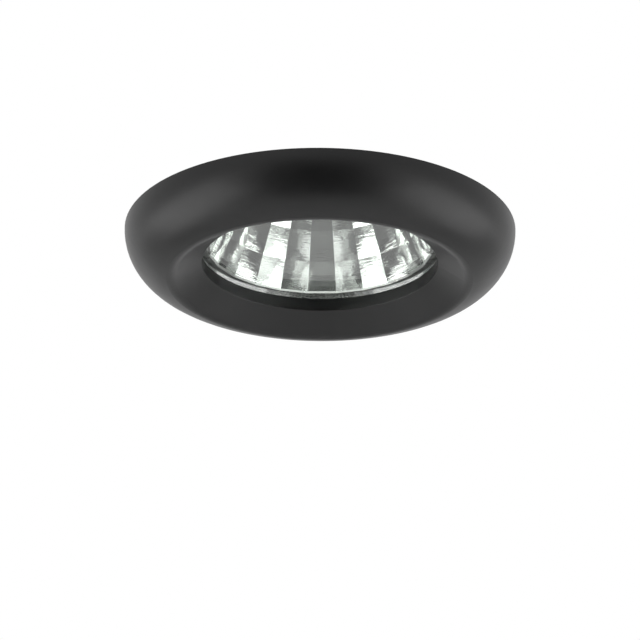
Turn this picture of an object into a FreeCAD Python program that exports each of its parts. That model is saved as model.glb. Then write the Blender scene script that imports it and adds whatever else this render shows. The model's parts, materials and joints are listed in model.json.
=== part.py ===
import FreeCAD
import Part

import math
import os

# A round, fixed downlight set into a soffit. A thick black bezel like half a doughnut hangs below the
# board. Its funnel leads up to a short wall and a ledge, and on the back of that ledge stands a 50 mm
# reflector lamp, which goes in from behind and is kept there by a sprung wire ring. A ceramic holder
# turns onto the lamp's two pins. Two sprung arms hold the fitting up by pressing on the board from above.
#
# Frame: millimetres. The board's lower side is the plane Z = 0, and +Z points up into the void.
# The lamp's axis is Z, the sprung arms lie along X, and the terminal block stands on the +Y side.
# A "depth" is measured down from Z = 0.

V = FreeCAD.Vector
UP = V(0, 0, 1)
ORIGIN = V(0, 0, 0)
ALONG_X = V(1, 0, 0)
ALONG_Y = V(0, 1, 0)
MINUS_Y = -90  # degrees round Z

# --- Clearances -------------------------------------------------------------------------------------
DROP_FIT = 0.2  # room round a piece that drops into a seat
SHAFT_FIT = 0.05  # radial room of a turning shaft, or of a screw in its hole
PIN_ROOM = 0.2  # room round the lamp's pins in the holder
SIDE_PLAY = 0.2  # room between the arm's cheeks and the bracket's ears
PAST = 1.0  # how far a tool that cuts or joins reaches past a face

# --- Bezel ------------------------------------------------------------------------------------------
BEZEL_RADIUS = 41.0
SHOULDER_RADIUS = 11.16  # the bezel's round outside, from its edge down to the ridge
CROWN_RADIUS = 2.4  # softens the ridge between shoulder and funnel
FUNNEL_ANGLE = 32.8  # degrees, slope of the funnel
FUNNEL_WIDTH = 6.37  # from the lip out to the ridge, seen from below
LIP_DEPTH = 7.0
LIP_EDGE_RADIUS = 0.15
LEDGE_DEPTH = 4.1  # back of the ledge that the lamp's glass lies on
LEDGE_WIDTH = 0.7
MOUTH_DRAFT = 0.25  # the short wall widens by this much as it goes up
BEZEL_WALL = 2.2  # wall left round the cored channel
COLLAR_WALL = 2.5
COLLAR_HEIGHT = 9.0
FOOT_WIDTH = 4.75  # of the brackets' feet, between the collar and the locating rim
RIM_WALL = 1.3
RIM_HEIGHT = 3.0
RIM_CHAMFER = 0.4
RIB_THICKNESS = 1.5
BRACKET_TURNS = (0, 90, 180)  # degrees: right clip, terminal block, left clip
CHANNEL_CELLS = (2, 2, 5)  # cells that ribs part the channel into, after each of these brackets
FOOTING_HEIGHT = 2.0  # top of the solid pads that the brackets stand on
FOOTING_HALF_ANGLE = 25.0
FOOT_ANGLE_ROOM = 1.0  # degrees from the end of a bracket's foot to the end of its footing
GASKET_THICKNESS = 1.2
GASKET_SPAN = (0.14, 0.785)  # where it starts and ends on the flange, whose width counts as 1

# --- Lamp -------------------------------------------------------------------------------------------
LAMP_RADIUS = 25.35
GLASS_THICKNESS = 2.0
GLASS_INSET = 0.15  # the glass is this much smaller than the lamp's rim
GLASS_CHAMFER = 0.25
FACET_COLUMNS = 24
FACET_ROW_HEIGHT = 6.15
FACET_TURN = -1.3  # degrees that the facets are turned from the lamp's pins
MOUTH_CHAMFER = 0.2  # on the mirror's front edge
FACE_RIM_WIDTH = 1.95  # flat rim round the mirror, from the lamp's edge to the corners between facets
MIRROR_THROAT = 6.6
MIRROR_DEPTH = 27.4
LAMP_RIM_HEIGHT = 2.4
BOWL_WALL = 2.0
NECK_WALL = 3.4
NECK_HEIGHT = 5.0
CAPSULE_RADIUS = 5.2
CAPSULE_WALL = 0.9
CAPSULE_LENGTH = 14.0  # straight stretch, below which it ends in a dome
PINCH_WIDTH = 9.0
PINCH_THICKNESS = 3.0
PINCH_HEIGHT = 7.0
FILAMENT_SPAN = 3.2
FILAMENT_DROP = 8.0
FILAMENT_WIRE = 0.2
FILAMENT_COIL_RADIUS = 0.6
BASE_RADIUS = 12.4
BASE_HEIGHT = 18.0
BASE_CHAMFER = 1.2
BASE_FLATS = 21.0
PIN_SPACING = 10.0
LAMP_PIN_RADIUS = 1.5
LAMP_PIN_LENGTH = 4.6
LAMP_PIN_ROOT = 4.0
LAMP_PIN_HEAD_RADIUS = 2.5
LAMP_PIN_HEAD_HEIGHT = 2.8
LAMP_PIN_HEAD_ROUND = 0.6

# --- Wire ring that keeps the lamp in ---------------------------------------------------------------
RETAINER_WIRE = 0.8
RETAINER_GAP = 25.0  # degrees from the -Y axis to each end
RETAINER_BEND = 2.0
RETAINER_RISE = 11.0  # of its two finger legs
RETAINER_ROOM = 4.5  # degrees of recess in the collar past each leg

# --- Lamp holder ------------------------------------------------------------------------------------
HOLDER_RADIUS = 13.6
HOLDER_HEIGHT = 13.0
HOLDER_TWIST = 15.0  # degrees, from locked to free
HOLDER_FLATS = 22.0
COVER_THICKNESS = 2.0
POCKET_WALL = 1.2  # from the middle of the holder to each pocket
POCKET_LENGTH = 8.6
POCKET_WIDTH = 7.1
POCKET_SHIFT = 0.75  # the pocket is wider on the side to which the pins turn
CONTACT_SHEET = 0.4
CONTACT_WIDTH = 4.0
CONTACT_START = 3.0
RIVET_RADIUS = 1.1
RIVET_HEAD_RADIUS = 1.9
RIVET_HEAD_HEIGHT = 0.7
RIVET_CIRCLE = 8.6

# --- Leads and terminal block -----------------------------------------------------------------------
LEAD_RADIUS = 1.0
LEAD_STRAIGHT = 3.0  # straight stretch above the holder's lid and above the block
LEAD_GRIP = 7.0  # length of lead inside the block
BLOCK_LOW = 44.0
BLOCK_HEIGHT = 16.0
BLOCK_HALF_WIDTH = 9.8
BLOCK_PLATE = 2.2
BLOCK_CORNER = 0.8
POLE_SPACING = 12.0
POLE_OFFSET = 4.0  # from the bracket to the middle of each pole
BARREL_RADIUS = 3.5
TOWER_RADIUS = 2.6
TOWER_HEIGHT = 5.7
MOUTH_RADIUS = 1.6
TUBE_RADIUS = 2.3
TUBE_BORE = 1.5
TUBE_LENGTH = 12.0
CLAMP_SCREW_SPACING = 7.0
CLAMP_SCREW_HEAD = 0.9
RISER_SHEET = 1.2
RISER_HALF_WIDTH_LOW = 6.4
RISER_HALF_WIDTH = 10.0
RISER_SHOULDER_LOW = 14.0
RISER_SHOULDER_HIGH = 19.0
RISER_TOP = 62.0
RISER_CORNER = 2.5
SADDLE_MIDDLE = 29.0  # height of the cable clamp
SADDLE_WIDTH = 7.0
SADDLE_BORE = 3.4
SADDLE_WALL = 1.5
SADDLE_FOOT = 2.0
SADDLE_CORNER = 1.0
SADDLE_LIFT = 2.2  # from the bracket to the middle of the cable
SADDLE_SCREW_OFFSET = 7.4
SADDLE_SCREW_LENGTH = 3.6

# --- Screws -----------------------------------------------------------------------------------------
SCREW_RADIUS = 1.25
SCREW_HEAD_RADIUS = 2.1
SCREW_HEAD_HEIGHT = 1.4
SCREW_HEAD_ROUND = 0.6
SCREW_TIP_CHAMFER = 0.4
RECESS_WIDTH = 0.55
RECESS_DEPTH = 0.8
RECESS_REACH = 1.25  # of each of the recess's four arms
HEAD_ROUND = 0.4  # on the heads of rivets and hinge pins
FOOT_SCREW_LENGTH = 5.0
FOOT_SCREW_ANGLE = 17.5  # degrees to each side of the bracket's middle
BLOCK_SCREW_LENGTH = 4.2

# --- Sprung arms ------------------------------------------------------------------------------------
BRACKET_SHEET = 0.9
BRACKET_ROOM = 0.2  # between the collar and the brackets
PIN_RADIUS = 1.1
PIN_STANDOFF = 2.4  # from the bracket's back plate to the pin's axis
PIN_HEIGHT = 14.0
PIN_HEAD_RADIUS = 1.6
PIN_HEAD_HEIGHT = 0.7
EAR_RADIUS = 2.1
EAR_FOOT_DEPTH = 3.8
ARM_SHEET = 0.9
ARM_HALF_WIDTH = 5.0
ARM_TIP_HALF_WIDTH = 4.0
ARM_LENGTH = 27.0  # from the pin's axis to the start of the turned-up tip
ARM_DROOP = 16.0  # degrees below level when the arm is on its stop
ARM_WEB_START = 3.0
ARM_TIP_RADIUS = 4.0
ARM_TIP_TURN = 50.0  # degrees
ARM_FLANGE_END = 18.0
CHEEK_RADIUS = 2.3
CHEEK_DEPTH = 2.2  # how far the cheeks and their heel reach below the pin
PAD_LENGTH = 7.0
PAD_WALL = 1.2
WIRE_RADIUS = 0.45
COIL_RADIUS = 1.9  # to the middle of the wire
COIL_TURNS = 4  # whole turns, besides the part turn between the two legs
COIL_PITCH = 1.5
FIXED_LEG = 7.0
MOVING_LEG = 12.0
GAP_SAMPLE = 0.2  # distance of the points on which the coil's gap is measured

# --- Heights and places that follow from these ------------------------------------------------------
bore_radius = LAMP_RADIUS + DROP_FIT
ledge_radius = bore_radius - LEDGE_WIDTH
lip_radius = ledge_radius - MOUTH_DRAFT
ridge_radius = lip_radius + FUNNEL_WIDTH
ridge_depth = LIP_DEPTH + FUNNEL_WIDTH * math.tan(math.radians(FUNNEL_ANGLE))
collar_radius = bore_radius + COLLAR_WALL
bracket_seat = collar_radius + BRACKET_ROOM  # inner face of every bracket
foot_outer = bracket_seat + FOOT_WIDTH
foot_circle = (bracket_seat + foot_outer) / 2
foot_top = FOOTING_HEIGHT + BRACKET_SHEET
rim_inner = foot_outer + DROP_FIT
rim_radius = rim_inner + RIM_WALL  # locating rim, which goes into the hole in the board
flange_width = BEZEL_RADIUS - rim_radius
gasket_inner, gasket_outer = (rim_radius + share * flange_width for share in GASKET_SPAN)
glass_top = -LEDGE_DEPTH + GLASS_THICKNESS
lamp_rim_top = glass_top + LAMP_RIM_HEIGHT
mirror_mouth = LAMP_RADIUS - FACE_RIM_WIDTH
throat_height = glass_top + MIRROR_DEPTH
neck_radius = MIRROR_THROAT + NECK_WALL
neck_top = throat_height + NECK_HEIGHT
base_bottom = throat_height + SHAFT_FIT
base_top = base_bottom + BASE_HEIGHT
pin_head_bottom = base_top + LAMP_PIN_LENGTH
pin_head_top = pin_head_bottom + LAMP_PIN_HEAD_HEIGHT
retainer_radius = bore_radius
retainer_height = lamp_rim_top + RETAINER_WIRE
groove_radius = retainer_radius + RETAINER_WIRE + SHAFT_FIT
holder_bottom = base_top + PIN_ROOM
holder_floor = pin_head_bottom - PIN_ROOM
holder_top = holder_bottom + HOLDER_HEIGHT
cover_top = holder_top + COVER_THICKNESS
contact_height = pin_head_top + SHAFT_FIT
pocket_end = POCKET_WALL + POCKET_LENGTH
lead_place = pocket_end - CONTACT_SHEET - LEAD_RADIUS
pole_place = bracket_seat - POLE_OFFSET
block_top = BLOCK_LOW + BLOCK_HEIGHT
block_middle = BLOCK_LOW + BLOCK_HEIGHT / 2
pin_place = V(bracket_seat + BRACKET_SHEET + PIN_STANDOFF, 0, PIN_HEIGHT)
web_top = COIL_RADIUS - WIRE_RADIUS - SHAFT_FIT  # the spring's moving leg lies on the arm's sheet
web_bottom = web_top - ARM_SHEET
ear_inner = ARM_HALF_WIDTH + SIDE_PLAY
ear_outer = ear_inner + BRACKET_SHEET


# --- Helpers ----------------------------------------------------------------------------------------
def closed_face(points):
    return Part.Face(Part.makePolygon(points + points[:1]))


def sorted_face(edges):
    return Part.Face(Part.Wire(Part.__sortEdges__(edges)))


def turned(profile):
    """A solid of revolution about Z from (radius, height) pairs."""
    return closed_face([V(r, 0, z) for r, z in profile]).revolve(ORIGIN, UP, 360)


def ring(inner, outer, low, high):
    return turned([(inner, low), (outer, low), (outer, high), (inner, high)])


def cylinder(radius, low, high, x=0.0, y=0.0):
    return Part.makeCylinder(radius, high - low, V(x, y, low), UP)


def across(radius, start, length):
    """A cylinder along +Y."""
    return Part.makeCylinder(radius, length, start, ALONG_Y)


def block(x0, x1, y0, y1, z0, z1):
    return Part.makeBox(x1 - x0, y1 - y0, z1 - z0, V(x0, y0, z0))


def polar(radius, degrees, z=0.0):
    angle = math.radians(degrees)
    return V(radius * math.cos(angle), radius * math.sin(angle), z)


def spun(shape, degrees):
    """A copy turned about Z."""
    copy = shape.copy()
    copy.rotate(ORIGIN, UP, degrees)
    return copy


def pair(shape):
    """The shape and its copy half a turn round."""
    return [spun(shape, 0), spun(shape, 180)]


def sector(inner, outer, low, high, half_angle):
    """Part of a ring, to each side of the +X axis."""
    face = closed_face([V(inner, 0, low), V(outer, 0, low), V(outer, 0, high), V(inner, 0, high)])
    return spun(face.revolve(ORIGIN, UP, 2 * half_angle), -half_angle)


def circular_edges(shape, radius, height):
    """The circular edges about Z with this radius at this height."""

    def matches(edge):
        curve = edge.Curve
        if not isinstance(curve, Part.Circle):
            return False
        return abs(curve.Radius - radius) < 1e-4 and abs(curve.Center.z - height) < 1e-4

    return [e for e in shape.Edges if matches(e)]


def edges_along_y(shape):
    """The edges of a plate that lies square to Y which run through its thickness."""
    return [e for e in shape.Edges if abs(e.Vertexes[0].Y - e.Vertexes[-1].Y) > 1e-6]


def pan_screw(length):
    """A screw that points down, with its head's underside at Z = 0 and a cross recess."""
    head = cylinder(SCREW_HEAD_RADIUS, 0, SCREW_HEAD_HEIGHT)
    head = head.makeFillet(SCREW_HEAD_ROUND, circular_edges(head, SCREW_HEAD_RADIUS, SCREW_HEAD_HEIGHT))
    half, floor = RECESS_WIDTH / 2, SCREW_HEAD_HEIGHT - RECESS_DEPTH
    slot = block(-RECESS_REACH, RECESS_REACH, -half, half, floor, SCREW_HEAD_HEIGHT)
    stem = cylinder(SCREW_RADIUS, -length, 0)
    stem = stem.makeChamfer(SCREW_TIP_CHAMFER, circular_edges(stem, SCREW_RADIUS, -length))
    return head.cut([slot, spun(slot, 90)]).fuse(stem)


def compound(shapes):
    return Part.makeCompound(shapes)


def swept_wire(radius, edges, heading):
    """A round wire along a path, with its volume compared with its section times its length."""
    path = Part.Wire(edges)
    section = Part.Wire(Part.makeCircle(radius, edges[0].Vertexes[0].Point, heading))
    tube = path.makePipeShell([section], True, False)
    print("wire volume", round(tube.Volume, 2), "expected", round(math.pi * radius**2 * path.Length, 2))
    return tube, path


# --- Bezel ------------------------------------------------------------------------------------------
def shoulder_centre():
    """The centre of the shoulder's arc, which runs from the bezel's edge to the ridge."""
    edge, ridge = V(BEZEL_RADIUS, 0, 0), V(ridge_radius, 0, -ridge_depth)
    chord = edge - ridge
    lift = math.sqrt(SHOULDER_RADIUS**2 - chord.Length**2 / 4)
    return (edge + ridge) * 0.5 + V(-chord.z, 0, chord.x) * (lift / chord.Length)


def bezel_curve(inset):
    """The shoulder's arc radius and the point where it meets the funnel, both moved in by inset."""
    angle = math.radians(FUNNEL_ANGLE)
    along, below = V(math.cos(angle), 0, -math.sin(angle)), V(-math.sin(angle), 0, -math.cos(angle))
    centre, radius = shoulder_centre(), SHOULDER_RADIUS - inset
    reach = (V(lip_radius, 0, -LIP_DEPTH) - centre).dot(below) - inset
    return radius, centre + below * reach + along * math.sqrt(radius**2 - reach**2)


def shoulder_arc(radius, start, end):
    """The arc about the shoulder's centre from one point to another."""
    centre = shoulder_centre()
    middle = (start + end) * 0.5 - centre
    return Part.Arc(start, centre + middle * (radius / middle.Length), end).toShape()


def bezel_blank():
    radius, crown = bezel_curve(0.0)
    edge = V(BEZEL_RADIUS, 0, 0)
    rest = [
        crown,
        V(lip_radius, 0, -LIP_DEPTH),
        V(ledge_radius, 0, -LEDGE_DEPTH),
        V(bore_radius, 0, -LEDGE_DEPTH),
        V(bore_radius, 0, COLLAR_HEIGHT),
        V(collar_radius, 0, COLLAR_HEIGHT),
        V(collar_radius, 0, 0),
        V(rim_inner, 0, 0),
        V(rim_inner, 0, RIM_HEIGHT),
        V(rim_radius - RIM_CHAMFER, 0, RIM_HEIGHT),
        V(rim_radius, 0, RIM_HEIGHT - RIM_CHAMFER),
        V(rim_radius, 0, 0),
        edge,
    ]
    outline = sorted_face([shoulder_arc(radius, edge, crown)] + Part.makePolygon(rest).Edges)
    blank = outline.revolve(ORIGIN, UP, 360)
    blank = blank.makeFillet(CROWN_RADIUS, circular_edges(blank, crown.x, crown.z))
    return blank.makeFillet(LIP_EDGE_RADIUS, circular_edges(blank, lip_radius, -LIP_DEPTH))


def cored_channel():
    """The hollow in the bezel's back, whose floor follows the outside at the bezel's wall."""
    radius, crown = bezel_curve(BEZEL_WALL)
    centre = shoulder_centre()
    run = rim_inner - centre.x
    start = V(rim_inner, 0, centre.z - math.sqrt(radius**2 - run**2))
    slope = math.tan(math.radians(FUNNEL_ANGLE))
    inner_floor = crown.z + (crown.x - collar_radius) * slope
    rest = [crown, V(collar_radius, 0, inner_floor), V(collar_radius, 0, 0), V(rim_inner, 0, 0), start]
    outline = sorted_face([shoulder_arc(radius, start, crown)] + Part.makePolygon(rest).Edges)
    channel = outline.revolve(ORIGIN, UP, 360)
    return channel.cut([footing(turn, -ridge_depth) for turn in BRACKET_TURNS] + ribs())


def footing(turn, low):
    """A solid pad that a bracket stands on, from this height up."""
    return spun(sector(collar_radius, rim_inner, low, FOOTING_HEIGHT, FOOTING_HALF_ANGLE), turn)


def rib_angles():
    """The ribs share out each stretch of the channel evenly, from one footing to the next."""
    angles = []
    for start, end, count in zip(BRACKET_TURNS, BRACKET_TURNS[1:] + (360,), CHANNEL_CELLS):
        first, last = start + FOOTING_HALF_ANGLE, end - FOOTING_HALF_ANGLE
        angles += [first + (last - first) * i / count for i in range(1, count)]
    return angles


def ribs():
    half = RIB_THICKNESS / 2
    rib = block(collar_radius - PAST, rim_inner + PAST, -half, half, -ridge_depth, 0)
    return [spun(rib, angle) for angle in rib_angles()]


def retainer_recess():
    """The groove for the wire ring, and the recess in the collar for its two upright legs."""
    groove_top = retainer_height + RETAINER_WIRE + SHAFT_FIT
    groove = ring(bore_radius - PAST, groove_radius, lamp_rim_top - SHAFT_FIT, groove_top)
    leg_reach = math.hypot(retainer_radius, RETAINER_BEND) + RETAINER_WIRE + SHAFT_FIT
    half_angle = RETAINER_GAP + RETAINER_ROOM
    recess = sector(bore_radius - PAST, leg_reach, lamp_rim_top, COLLAR_HEIGHT + PAST, half_angle)
    return [groove, spun(recess, MINUS_Y)]


def trim_ring():
    body = bezel_blank().cut(cored_channel())
    body = body.fuse([footing(turn, -PAST) for turn in BRACKET_TURNS])
    body = body.cut(ring(gasket_inner - DROP_FIT, gasket_outer + DROP_FIT, -GASKET_THICKNESS, PAST))
    body = body.cut(retainer_recess())
    depth = FOOT_SCREW_LENGTH - BRACKET_SHEET + DROP_FIT
    holes = [
        cylinder(SCREW_RADIUS + SHAFT_FIT, FOOTING_HEIGHT - depth, FOOTING_HEIGHT, place.x, place.y)
        for turn in BRACKET_TURNS
        for place in foot_screw_places(turn)
    ]
    return body.cut(holes).removeSplitter()


def foot_screw_places(turn):
    return [polar(foot_circle, turn + side * FOOT_SCREW_ANGLE, foot_top) for side in (-1, 1)]


def soffit_gasket():
    return ring(gasket_inner, gasket_outer, -GASKET_THICKNESS, 0)


# --- Wire ring --------------------------------------------------------------------------------------
def retaining_ring():
    """One wire: down a finger leg, most of a circle round in the groove, and up the other leg."""
    start, end = MINUS_Y + RETAINER_GAP, MINUS_Y + 360 - RETAINER_GAP
    quarters = [start + (end - start) * i / 4 for i in range(5)]
    leg_top = V(0, 0, RETAINER_RISE)

    def leg(angle, side):
        """The bend and the straight leg at one end. side is the way round towards the gap."""
        foot = polar(retainer_radius, angle, retainer_height)
        towards = polar(side, angle + 90)
        centre = foot + V(0, 0, RETAINER_BEND)
        knee = centre + towards * RETAINER_BEND
        half = (towards - UP).normalize() * RETAINER_BEND
        return Part.Arc(foot, centre + half, knee), knee

    first_bend, first_knee = leg(start, -1)
    last_bend, last_knee = leg(end, 1)
    edges = [Part.makeLine(first_knee + leg_top, first_knee), first_bend.toShape()]
    for a, b in zip(quarters, quarters[1:]):
        points = [polar(retainer_radius, angle, retainer_height) for angle in (a, (a + b) / 2, b)]
        edges.append(Part.Arc(*points).toShape())
    edges += [last_bend.toShape(), Part.makeLine(last_knee, last_knee + leg_top)]
    return swept_wire(RETAINER_WIRE, edges, UP * -1)[0]


# --- Lamp -------------------------------------------------------------------------------------------
def mirror_radius(rise):
    """Radius of the mirror's paraboloid at a height above its mouth."""
    share = rise / MIRROR_DEPTH
    return math.sqrt(mirror_mouth**2 * (1 - share) + MIRROR_THROAT**2 * share)


def facet_ring(rise, outset=0.0):
    """The polygon of facet corners at a height above the mouth."""
    angles = [FACET_TURN + (i + 0.5) * 360.0 / FACET_COLUMNS for i in range(FACET_COLUMNS)]
    corners = [polar(mirror_radius(rise) + outset, angle, glass_top + rise) for angle in angles]
    return Part.makePolygon(corners + corners[:1])


def faceted_bowl():
    """The space inside the mirror: a chamfer, then rows of flat facets from one polygon to the next."""
    rows = math.ceil(MIRROR_DEPTH / FACET_ROW_HEIGHT)
    tops = [min((row + 1) * FACET_ROW_HEIGHT, MIRROR_DEPTH) for row in range(rows)]
    rings = [facet_ring(0, MOUTH_CHAMFER)] + [facet_ring(rise) for rise in [MOUTH_CHAMFER] + tops]
    return Part.makeLoft(rings, True, True)


def lamp_reflector():
    """Pressed glass: a flat rim, a smooth round outside, facets inside, and a neck for the capsule."""
    shoulder = V(mirror_radius(LAMP_RIM_HEIGHT) + BOWL_WALL, 0, lamp_rim_top)
    middle = V(mirror_radius(MIRROR_DEPTH / 2) + BOWL_WALL, 0, glass_top + MIRROR_DEPTH / 2)
    waist = V(neck_radius, 0, throat_height)
    rest = [
        waist,
        V(neck_radius, 0, neck_top),
        V(0, 0, neck_top),
        V(0, 0, glass_top),
        V(LAMP_RADIUS, 0, glass_top),
        V(LAMP_RADIUS, 0, lamp_rim_top),
        shoulder,
    ]
    bowl = Part.Arc(shoulder, middle, waist).toShape()
    shell = sorted_face([bowl] + Part.makePolygon(rest).Edges).revolve(ORIGIN, UP, 360)
    bore = MIRROR_THROAT * math.cos(math.pi / FACET_COLUMNS)
    return shell.cut([faceted_bowl(), cylinder(bore, throat_height - PAST, neck_top)])


def lamp_cover_glass():
    radius = LAMP_RADIUS - GLASS_INSET
    disc = cylinder(radius, -LEDGE_DEPTH, glass_top)
    return disc.makeChamfer(GLASS_CHAMFER, circular_edges(disc, radius, -LEDGE_DEPTH))


pinch_bottom = neck_top - PINCH_HEIGHT / 2
dome_centre = pinch_bottom - CAPSULE_LENGTH


def capsule_shape(radius, top):
    """A round-ended cylinder that hangs from this height."""
    tip = V(0, 0, dome_centre - radius)
    bend = V(radius * math.sin(math.pi / 4), 0, dome_centre - radius * math.cos(math.pi / 4))
    side = V(radius, 0, dome_centre)
    rest = Part.makePolygon([side, V(radius, 0, top), V(0, 0, top), tip]).Edges
    return sorted_face([Part.Arc(tip, bend, side).toShape()] + rest).revolve(ORIGIN, UP, 360)


def pinch(room):
    half, thick = PINCH_WIDTH / 2 + room, PINCH_THICKNESS / 2 + room
    return block(-half, half, -thick, thick, pinch_bottom, pinch_bottom + PINCH_HEIGHT + room)


def lamp_capsule():
    bulb = capsule_shape(CAPSULE_RADIUS, pinch_bottom)
    hollow = capsule_shape(CAPSULE_RADIUS - CAPSULE_WALL, pinch_bottom - CAPSULE_WALL)
    return bulb.cut(hollow).fuse(pinch(0.0))


def lamp_filament():
    """Two supports that hang from the capsule's top, bent towards each other, with the coil between."""
    half = FILAMENT_SPAN / 2
    bend = half / 2
    top = pinch_bottom - CAPSULE_WALL
    low = top - FILAMENT_DROP
    turn = bend * (1 - math.sqrt(0.5))
    edges = [
        Part.makeLine(V(-half, 0, top), V(-half, 0, low + bend)),
        Part.Arc(V(-half, 0, low + bend), V(-half + turn, 0, low + turn), V(-half + bend, 0, low)).toShape(),
        Part.makeLine(V(-half + bend, 0, low), V(half - bend, 0, low)),
        Part.Arc(V(half - bend, 0, low), V(half - turn, 0, low + turn), V(half, 0, low + bend)).toShape(),
        Part.makeLine(V(half, 0, low + bend), V(half, 0, top)),
    ]
    wire = swept_wire(FILAMENT_WIRE, edges, UP * -1)[0]
    return wire.fuse(Part.makeCylinder(FILAMENT_COIL_RADIUS, 2 * bend, V(-bend, 0, low), ALONG_X))


def pin_places():
    return [(side * PIN_SPACING / 2, 0.0) for side in (-1, 1)]


def lamp_base():
    """Ceramic: a cup for the reflector's neck, with two flats and a bevelled end with the pins."""
    body = cylinder(BASE_RADIUS, base_bottom, base_top)
    body = body.makeChamfer(BASE_CHAMFER, circular_edges(body, BASE_RADIUS, base_top))
    half = BASE_FLATS / 2
    body = body.common(block(-BASE_RADIUS, BASE_RADIUS, -half, half, base_bottom, base_top))
    sockets = [cylinder(neck_radius + SHAFT_FIT, base_bottom, neck_top), pinch(SHAFT_FIT)]
    roots = [cylinder(LAMP_PIN_RADIUS, base_top - LAMP_PIN_ROOT, base_top, x, y) for x, y in pin_places()]
    return body.cut(sockets + roots)


def lamp_pins():
    pins = []
    for x, y in pin_places():
        head = cylinder(LAMP_PIN_HEAD_RADIUS, pin_head_bottom, pin_head_top, x, y)
        edge = circular_edges(head, LAMP_PIN_HEAD_RADIUS, pin_head_top)
        head = head.makeFillet(LAMP_PIN_HEAD_ROUND, edge)
        pins.append(head.fuse(cylinder(LAMP_PIN_RADIUS, base_top - LAMP_PIN_ROOT, pin_head_bottom, x, y)))
    return compound(pins)


# --- Lamp holder ------------------------------------------------------------------------------------
def pin_track(radius, low, high):
    """The space that a pin of this radius passes through while the holder turns."""
    middle = PIN_SPACING / 2
    inner, outer = middle - radius, middle + radius
    track = spun(sector(inner, outer, low, high, HOLDER_TWIST / 2), -HOLDER_TWIST / 2)
    ends = [polar(middle, angle) for angle in (0, -HOLDER_TWIST)]
    return track.fuse([cylinder(radius, low, high, end.x, end.y) for end in ends])


def holder_pocket():
    half = POCKET_WIDTH / 2
    return block(POCKET_WALL, pocket_end, -half - POCKET_SHIFT, half - POCKET_SHIFT, holder_floor, holder_top)


def rivet_places():
    return [(0.0, side * RIVET_CIRCLE) for side in (-1, 1)]


def holder_outline(low, high):
    half = HOLDER_FLATS / 2
    round_body = cylinder(HOLDER_RADIUS, low, high)
    return round_body.common(block(-HOLDER_RADIUS, HOLDER_RADIUS, -half, half, low, high))


def holder_body():
    entry = polar(PIN_SPACING / 2, -HOLDER_TWIST)
    keyhole = pin_track(LAMP_PIN_RADIUS + PIN_ROOM, holder_bottom, holder_floor)
    mouth = cylinder(LAMP_PIN_HEAD_RADIUS + PIN_ROOM, holder_bottom, holder_floor, entry.x, entry.y)
    cuts = pair(keyhole) + pair(mouth) + pair(holder_pocket())
    cuts += [cylinder(RIVET_RADIUS, holder_bottom, holder_top, x, y) for x, y in rivet_places()]
    heads = RIVET_HEAD_HEIGHT + SHAFT_FIT
    sink = RIVET_HEAD_RADIUS + SHAFT_FIT
    cuts += [cylinder(sink, holder_bottom, holder_bottom + heads, x, y) for x, y in rivet_places()]
    return holder_outline(holder_bottom, holder_top).cut(cuts)


def holder_cover():
    cover = holder_outline(holder_top, cover_top)
    holes = pair(cylinder(LEAD_RADIUS + SHAFT_FIT, holder_top, cover_top, lead_place))
    return cover.cut(holes + [cylinder(RIVET_RADIUS, holder_top, cover_top, x, y) for x, y in rivet_places()])


def holder_rivets():
    rivets = []
    for x, y in rivet_places():
        low = holder_bottom + SHAFT_FIT + RIVET_HEAD_HEIGHT
        foot = cylinder(RIVET_HEAD_RADIUS, low - RIVET_HEAD_HEIGHT, low, x, y)
        head = cylinder(RIVET_HEAD_RADIUS, cover_top, cover_top + RIVET_HEAD_HEIGHT, x, y)
        edge = circular_edges(head, RIVET_HEAD_RADIUS, cover_top + RIVET_HEAD_HEIGHT)
        head = head.makeFillet(HEAD_ROUND, edge)
        rivets.append(foot.fuse([cylinder(RIVET_RADIUS, low, cover_top, x, y), head]))
    return compound(rivets)


def holder_contacts():
    """Bent brass blades over the pins' heads, each with an upright end that its lead is joined to."""
    half = CONTACT_WIDTH / 2
    blade = block(CONTACT_START, pocket_end, -half, half, contact_height, contact_height + CONTACT_SHEET)
    upright = block(pocket_end - CONTACT_SHEET, pocket_end, -half, half, contact_height, holder_top)
    return compound(pair(blade.fuse(upright)))


# --- Leads, terminal block and their bracket --------------------------------------------------------
def pole_places():
    return [(side * POLE_SPACING / 2, pole_place) for side in (-1, 1)]


def lead(side):
    """Straight up from a contact, over in a half circle, and straight down into the block."""
    start = V(side * lead_place, 0, contact_height + CONTACT_SHEET + LEAD_RADIUS)
    end = V(side * POLE_SPACING / 2, pole_place, block_top - LEAD_GRIP)
    bend = max(cover_top, block_top) + LEAD_STRAIGHT
    rise, fall = V(start.x, start.y, bend), V(end.x, end.y, bend)
    radius = (fall - rise).Length / 2
    print("lead bend radius", round(radius, 2), "for a diameter of", 2 * LEAD_RADIUS)
    arch = Part.Arc(rise, (rise + fall) * 0.5 + V(0, 0, radius), fall).toShape()
    edges = [Part.makeLine(start, rise), arch, Part.makeLine(fall, end)]
    return swept_wire(LEAD_RADIUS, edges, UP)[0]


def clamp_screw_places():
    heights = [block_middle + side * CLAMP_SCREW_SPACING / 2 for side in (-1, 1)]
    return [(x, z) for x, _ in pole_places() for z in heights]


tower_front = pole_place - TOWER_HEIGHT
tube_low = block_middle - TUBE_LENGTH / 2


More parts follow.
